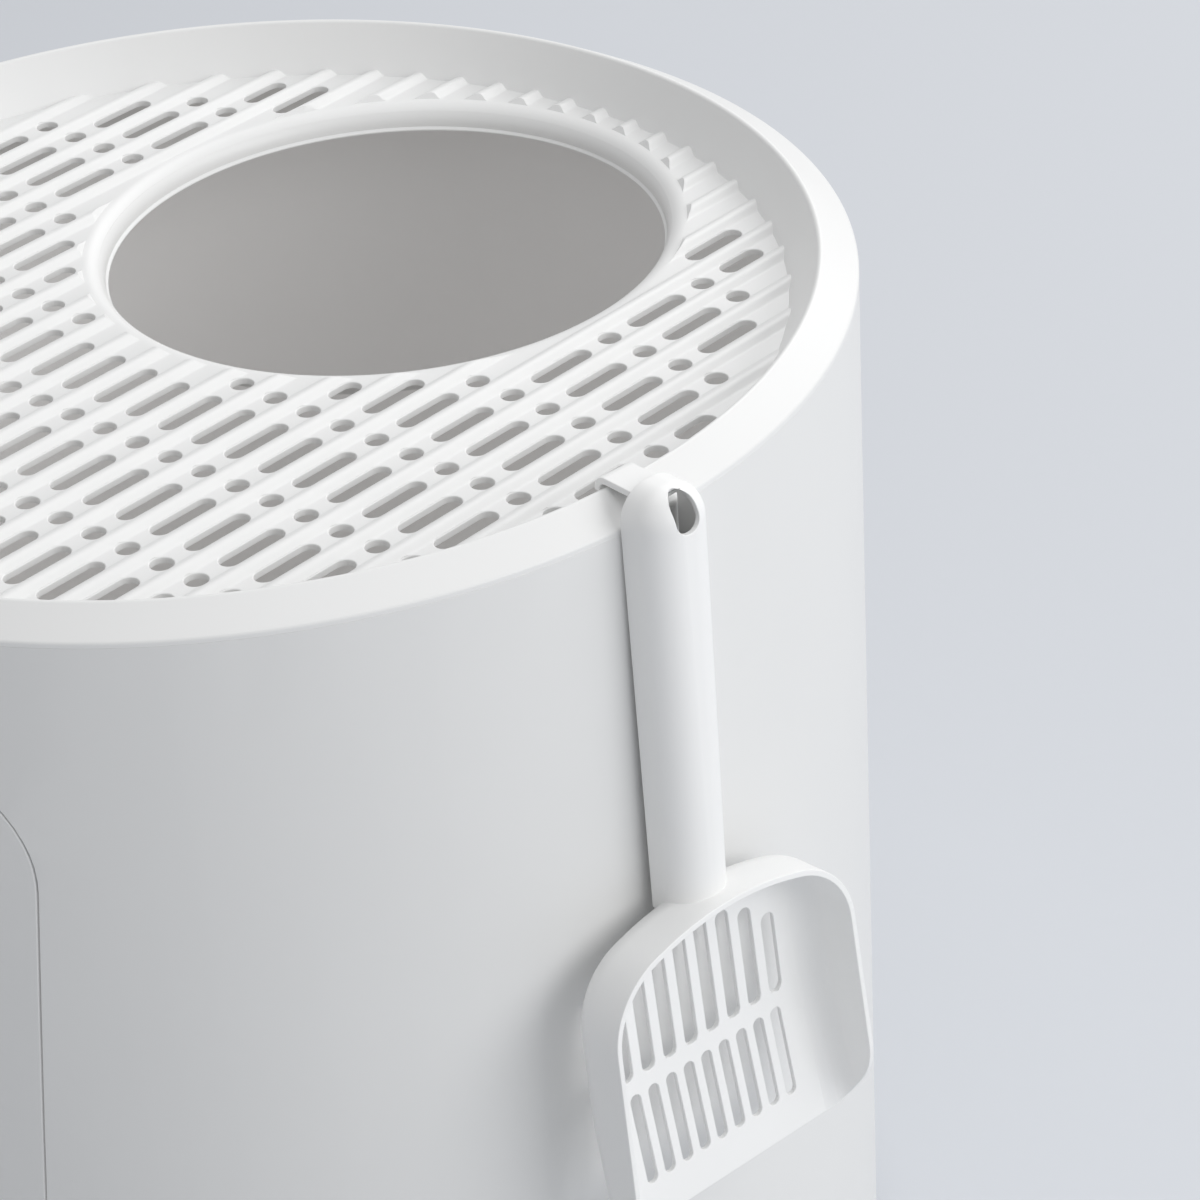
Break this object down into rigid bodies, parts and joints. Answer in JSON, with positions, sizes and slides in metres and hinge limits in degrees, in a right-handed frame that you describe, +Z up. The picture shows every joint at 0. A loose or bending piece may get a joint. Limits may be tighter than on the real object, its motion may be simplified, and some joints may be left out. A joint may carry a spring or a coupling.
{
  "type": "covered litter box",
  "caption": "Round covered litter box: a tapering drum with a drop-down front flap, a dished lid with an entry hole and a fluted, slotted deck, and a scoop hung on the rim.",
  "frame": {"origin": "on the drum's axis, at the underside of its floor, which rests on the ground", "axes": "+Z up along the drum's axis, -Y towards the front with the flap, +Y towards the entry hole, +X towards the side where the scoop hangs"},
  "size_m": [0.4541, 0.42, 0.4175],
  "materials": {
    "drum": "satin moulded polypropylene",
    "lid": "satin moulded polypropylene",
    "scoop": "satin moulded polypropylene",
    "pin": "drawn steel wire"
  },
  "bodies": {
    "drum": {"drum_body": "drum", "flap_hinge_pin": "pin"},
    "lid": {"lid": "lid"},
    "flap": {"front_flap": "drum"},
    "scoop": {"scoop": "scoop"}
  },
  "joints": [
    {"name": "lid_lift", "type": "slide", "parent": "drum", "child": "lid", "axis": [0, 0, 1], "range_m": [0, 0.2]},
    {"name": "flap_drop", "type": "hinge", "parent": "drum", "child": "flap", "pos_m": [0, -0.20028, 0.13], "axis": [1, 0, 0], "range_deg": [0, 90]},
    {"name": "scoop_lift", "type": "slide", "parent": "lid", "child": "scoop", "axis": [0, 0, 1], "range_m": [0, 0.27]}
  ]
}
